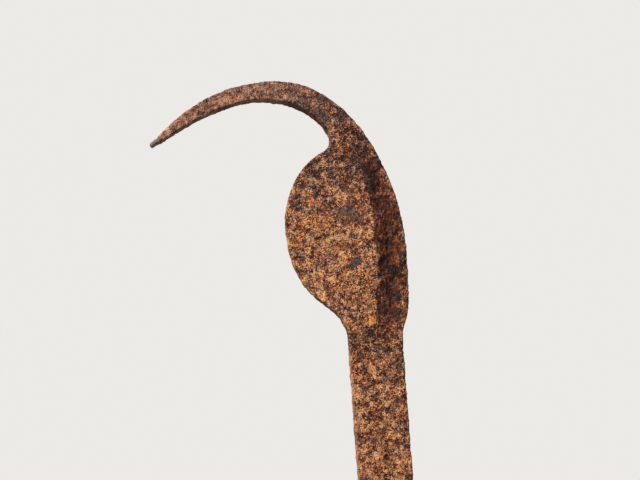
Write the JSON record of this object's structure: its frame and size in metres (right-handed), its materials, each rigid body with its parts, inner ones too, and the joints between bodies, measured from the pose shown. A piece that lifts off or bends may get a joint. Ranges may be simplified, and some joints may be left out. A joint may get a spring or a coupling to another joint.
{
  "type": "hook tool",
  "caption": "Rusted one-piece forged iron tool head with a long curved beak and a rounded ridged lobe on a flat bar shank, with a riveted two-scale wooden grip.",
  "frame": {"origin": "centre of the hanging hole at the butt end, halfway through the bar's thickness", "axes": "+Z along the bar from the butt to the head, +Y through the hanging hole towards the flat back (so -Y is the ridged front), +X away from the beak, whose point lies towards -X"},
  "size_m": [0.1257, 0.0316, 0.3736],
  "materials": {
    "forged_iron": "heavily pitted orange and purple-brown rust over hand-forged iron",
    "grip_wood": "old dry ash, dark with handling, cracked along the grain",
    "ferrule_iron": "rusted wrought strip with a lapped seam",
    "rivet_iron": "rusted, hammered over by hand"
  },
  "bodies": {
    "root": {"hook_blade": "forged_iron", "grip_scale_front": "grip_wood", "grip_scale_back": "grip_wood", "lower_ferrule": "ferrule_iron", "upper_ferrule": "ferrule_iron", "grip_rivet_upper": "rivet_iron", "rove_front_upper": "rivet_iron", "rove_back_upper": "rivet_iron", "grip_rivet_middle": "rivet_iron", "rove_front_middle": "rivet_iron", "rove_back_middle": "rivet_iron", "grip_rivet_lower": "rivet_iron", "rove_front_lower": "rivet_iron", "rove_back_lower": "rivet_iron"}
  },
  "joints": []
}
